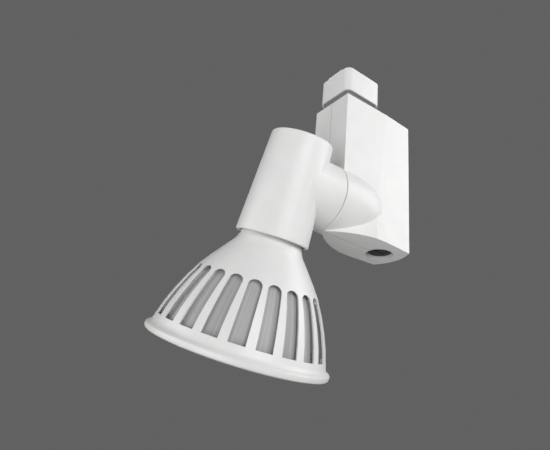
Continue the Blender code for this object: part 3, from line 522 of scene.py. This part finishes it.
def build_screw(name, made):
    """A screw in the far side of the housing: a domed head with a cross recess, on its shank."""
    low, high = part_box(name)
    middle = (low + high) / 2
    radius = (high.x - low.x) / 2
    matrix = Matrix.Translation((middle.x, high.y, middle.z)) @ Matrix.Rotation(-pi / 2, 4, "X")
    dome = radius * SCREW_DOME
    arm = radius * SCREW_CROSS_ARM
    half = radius * SCREW_CROSS_HALF

    def cross(scale, height):
        """The cross's outline at that scale and height."""
        points = []
        for index in range(SCREW_SIDES):
            angle = tau * index / SCREW_SIDES
            reach = scale * cross_reach(angle, arm, half)
            points.append(matrix @ Vector((reach * cos(angle), reach * sin(angle), height)))
        return points

    shank = radius * SCREW_SHANK
    loops = [circle(matrix, shank, low.y - high.y, SCREW_SIDES)]
    loops.append(circle(matrix, shank, -SCREW_HEAD, SCREW_SIDES))
    loops.append(circle(matrix, radius, -SCREW_HEAD, SCREW_SIDES))
    for share in (0.0, 0.35, 0.7, 0.92):
        bend = share * pi / 2
        ring = radius - dome * (1 - cos(bend))
        loops.append(circle(matrix, ring, dome * (sin(bend) - 1), SCREW_SIDES))
    loops.append(cross(1.0, 0.0))
    loops.append(cross(0.8, -0.6 * SCREW_HEAD))
    loops.append(cross(0.3, -0.8 * SCREW_HEAD))
    obj = piece(f"{name}_cross", skin(loops), made, "housing")
    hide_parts(name)


# Stage

def build_floor(low):
    """A wide pale floor below the object."""
    half = FLOOR_SIZE / 2
    level = low.z - FLOOR_DROP
    work = bmesh.new()
    corners = [work.verts.new((x * half, y * half, level)) for x, y in ((-1, -1), (1, -1), (1, 1), (-1, 1))]
    work.faces.new(corners)
    mesh = bpy.data.meshes.new("floor")
    work.to_mesh(mesh)
    work.free()
    made = plain("floor_paint", (0.80, 0.80, 0.79), 0.8)
    tint(made, noise(made, place_in(made), 0.4), (0.78, 0.78, 0.77), (0.82, 0.82, 0.81))
    mesh.materials.append(made)
    floor = bpy.data.objects.new("floor", mesh)
    bpy.context.scene.collection.objects.link(floor)


def build_light(centre):
    """Soft square lights that face the object, and dim, even surroundings."""
    for name, (heading, rise, watts) in LIGHTS.items():
        light = bpy.data.lights.new(name, "AREA")
        light.size = LIGHT_SIZE
        light.energy = watts
        holder = bpy.data.objects.new(name, light)
        away = Vector((sin(heading) * cos(rise), -cos(heading) * cos(rise), sin(rise)))
        holder.location = centre + LIGHT_DISTANCE * away
        holder.rotation_euler = (-away).to_track_quat("-Z", "Y").to_euler()
        bpy.context.scene.collection.objects.link(holder)
    world = bpy.data.worlds.new("surroundings")
    world.use_nodes = True
    background = world.node_tree.nodes["Background"]
    background.inputs["Color"].default_value = (1.0, 1.0, 1.0, 1.0)
    background.inputs["Strength"].default_value = SURROUNDINGS
    bpy.context.scene.world = world
    bpy.context.scene.view_settings.view_transform = "Standard"


def build_camera():
    """A camera at the photograph's place."""
    data = bpy.data.cameras.new("camera")
    data.sensor_width = 36.0
    data.lens = CAMERA_LENS
    data.clip_start = 0.01
    camera = bpy.data.objects.new("camera", data)
    level = Euler((pi / 2 + CAMERA_RISE, 0.0, CAMERA_HEADING), "XYZ").to_matrix()
    rolled = level @ Matrix.Rotation(CAMERA_ROLL, 3, "Z")
    camera.matrix_world = Matrix.Translation(CAMERA_PLACE) @ rolled.to_4x4()
    bpy.context.scene.collection.objects.link(camera)
    bpy.context.scene.camera = camera


# Finishes

WHITE_PAINT = (0.83, 0.83, 0.825)
WHITE_PLASTIC = (0.84, 0.84, 0.835)

coat = powder_coat("white_powder_coat", WHITE_PAINT)
shell_plastic = moulded("white_moulding", WHITE_PLASTIC)
# The core's grey paint, with streaks of painted shade and light.
core_paint_and_fin_shading = paint_with_fin_shading("core_paint_and_fin_shading", (0.46, 0.46, 0.46))
neck_plastic = moulded("grey_moulding", (0.20, 0.20, 0.205), 0.5)
black_plastic = moulded("black_moulding", (0.025, 0.025, 0.026), 0.4)
zinc = brushed("zinc_plate", (0.60, 0.60, 0.62), 0.32)
copper = brushed("copper", (0.76, 0.43, 0.27), 0.28)
brass = brushed("brass", (0.78, 0.57, 0.25), 0.28)
ceramic = bisque("ceramic", (0.80, 0.78, 0.73))
fibre = insulation("fibre", (0.05, 0.05, 0.05))
black_insulation = insulation("black_insulation", (0.03, 0.03, 0.03))
white_insulation = insulation("white_insulation", (0.80, 0.80, 0.79))
green_board = board_lacquer("green_board", (0.04, 0.26, 0.10))
white_board = board_lacquer("white_board", (0.80, 0.80, 0.79))
lens_plastic = clear_plastic("clear_lens")
knob_low, knob_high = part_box("dimmer_knob")
dial = dial_plastic("dial", (0.022, 0.022, 0.023), (knob_low + knob_high) / 2)

dress(["shell_near", "shell_far"], coat, 0.00035, 3)
dress(["barrel"], coat, 0.00030, 3)
dress(["lamp_shell"], shell_plastic, 0.00030, 2)
dress(["connector_head", "contact_carrier", "lens_ring", "driver_cup"], shell_plastic, 0.00025, 2)
dress(["dimmer_bushing"], shell_plastic, 0.00015)
dress(["neck_collar"], neck_plastic, 0.00020)
dress(["lamp_core"], core_paint_and_fin_shading, 0.00015)
dress(["dimmer_knob"], dial, 0.00020)
dress(["dimmer_body", "base_insulator", "driver_capacitor", "driver_coil"], black_plastic, 0.00030)
dress(["blade_live", "blade_neutral", "blade_ground"], copper, 0.00020)
dress(["screw_shell", "centre_contact", "base_contact"], brass)
dress(["terminal_screw_live", "terminal_screw_neutral"], brass, 0.00010)
dress(["pan_washer", "pan_nut", "tilt_bolt", "flat_washer", "wave_washer", "tilt_nut"], zinc, 0.00010)
dress(["socket_strap", "socket_screw_near", "socket_screw_far", "base_shell"], zinc, 0.00010)
dress(["board_screw_near", "board_screw_far"], zinc, 0.00010)
dress(["terminal_block", "socket_body"], ceramic, 0.00040)
dress(["friction_washer"], fibre)
dress(["lead_supply_live", "lead_load_live", "lead_socket_live"], black_insulation)
dress(["lead_supply_neutral", "lead_load_neutral", "lead_socket_neutral"], white_insulation)
dress(["driver_board"], green_board, 0.00010)
dress(["circuit_board"], white_board, 0.00010)
for index in range(1, EMITTERS + 1):
    emitter_low, emitter_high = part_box(f"emitter_{index}")
    cup_frame = Matrix.Translation((emitter_low + emitter_high) / 2) @ LAMP.to_3x3().to_4x4()
    dress([f"emitter_{index}"], phosphor(f"emitter_face_{index}", cup_frame), 0.00015)
build_lens(lens_plastic)
for screw in ("shell_screw_top", "shell_screw_rear"):
    build_screw(screw, zinc)

build_floor(cad_low)
build_light((cad_low + cad_high) / 2)
build_camera()
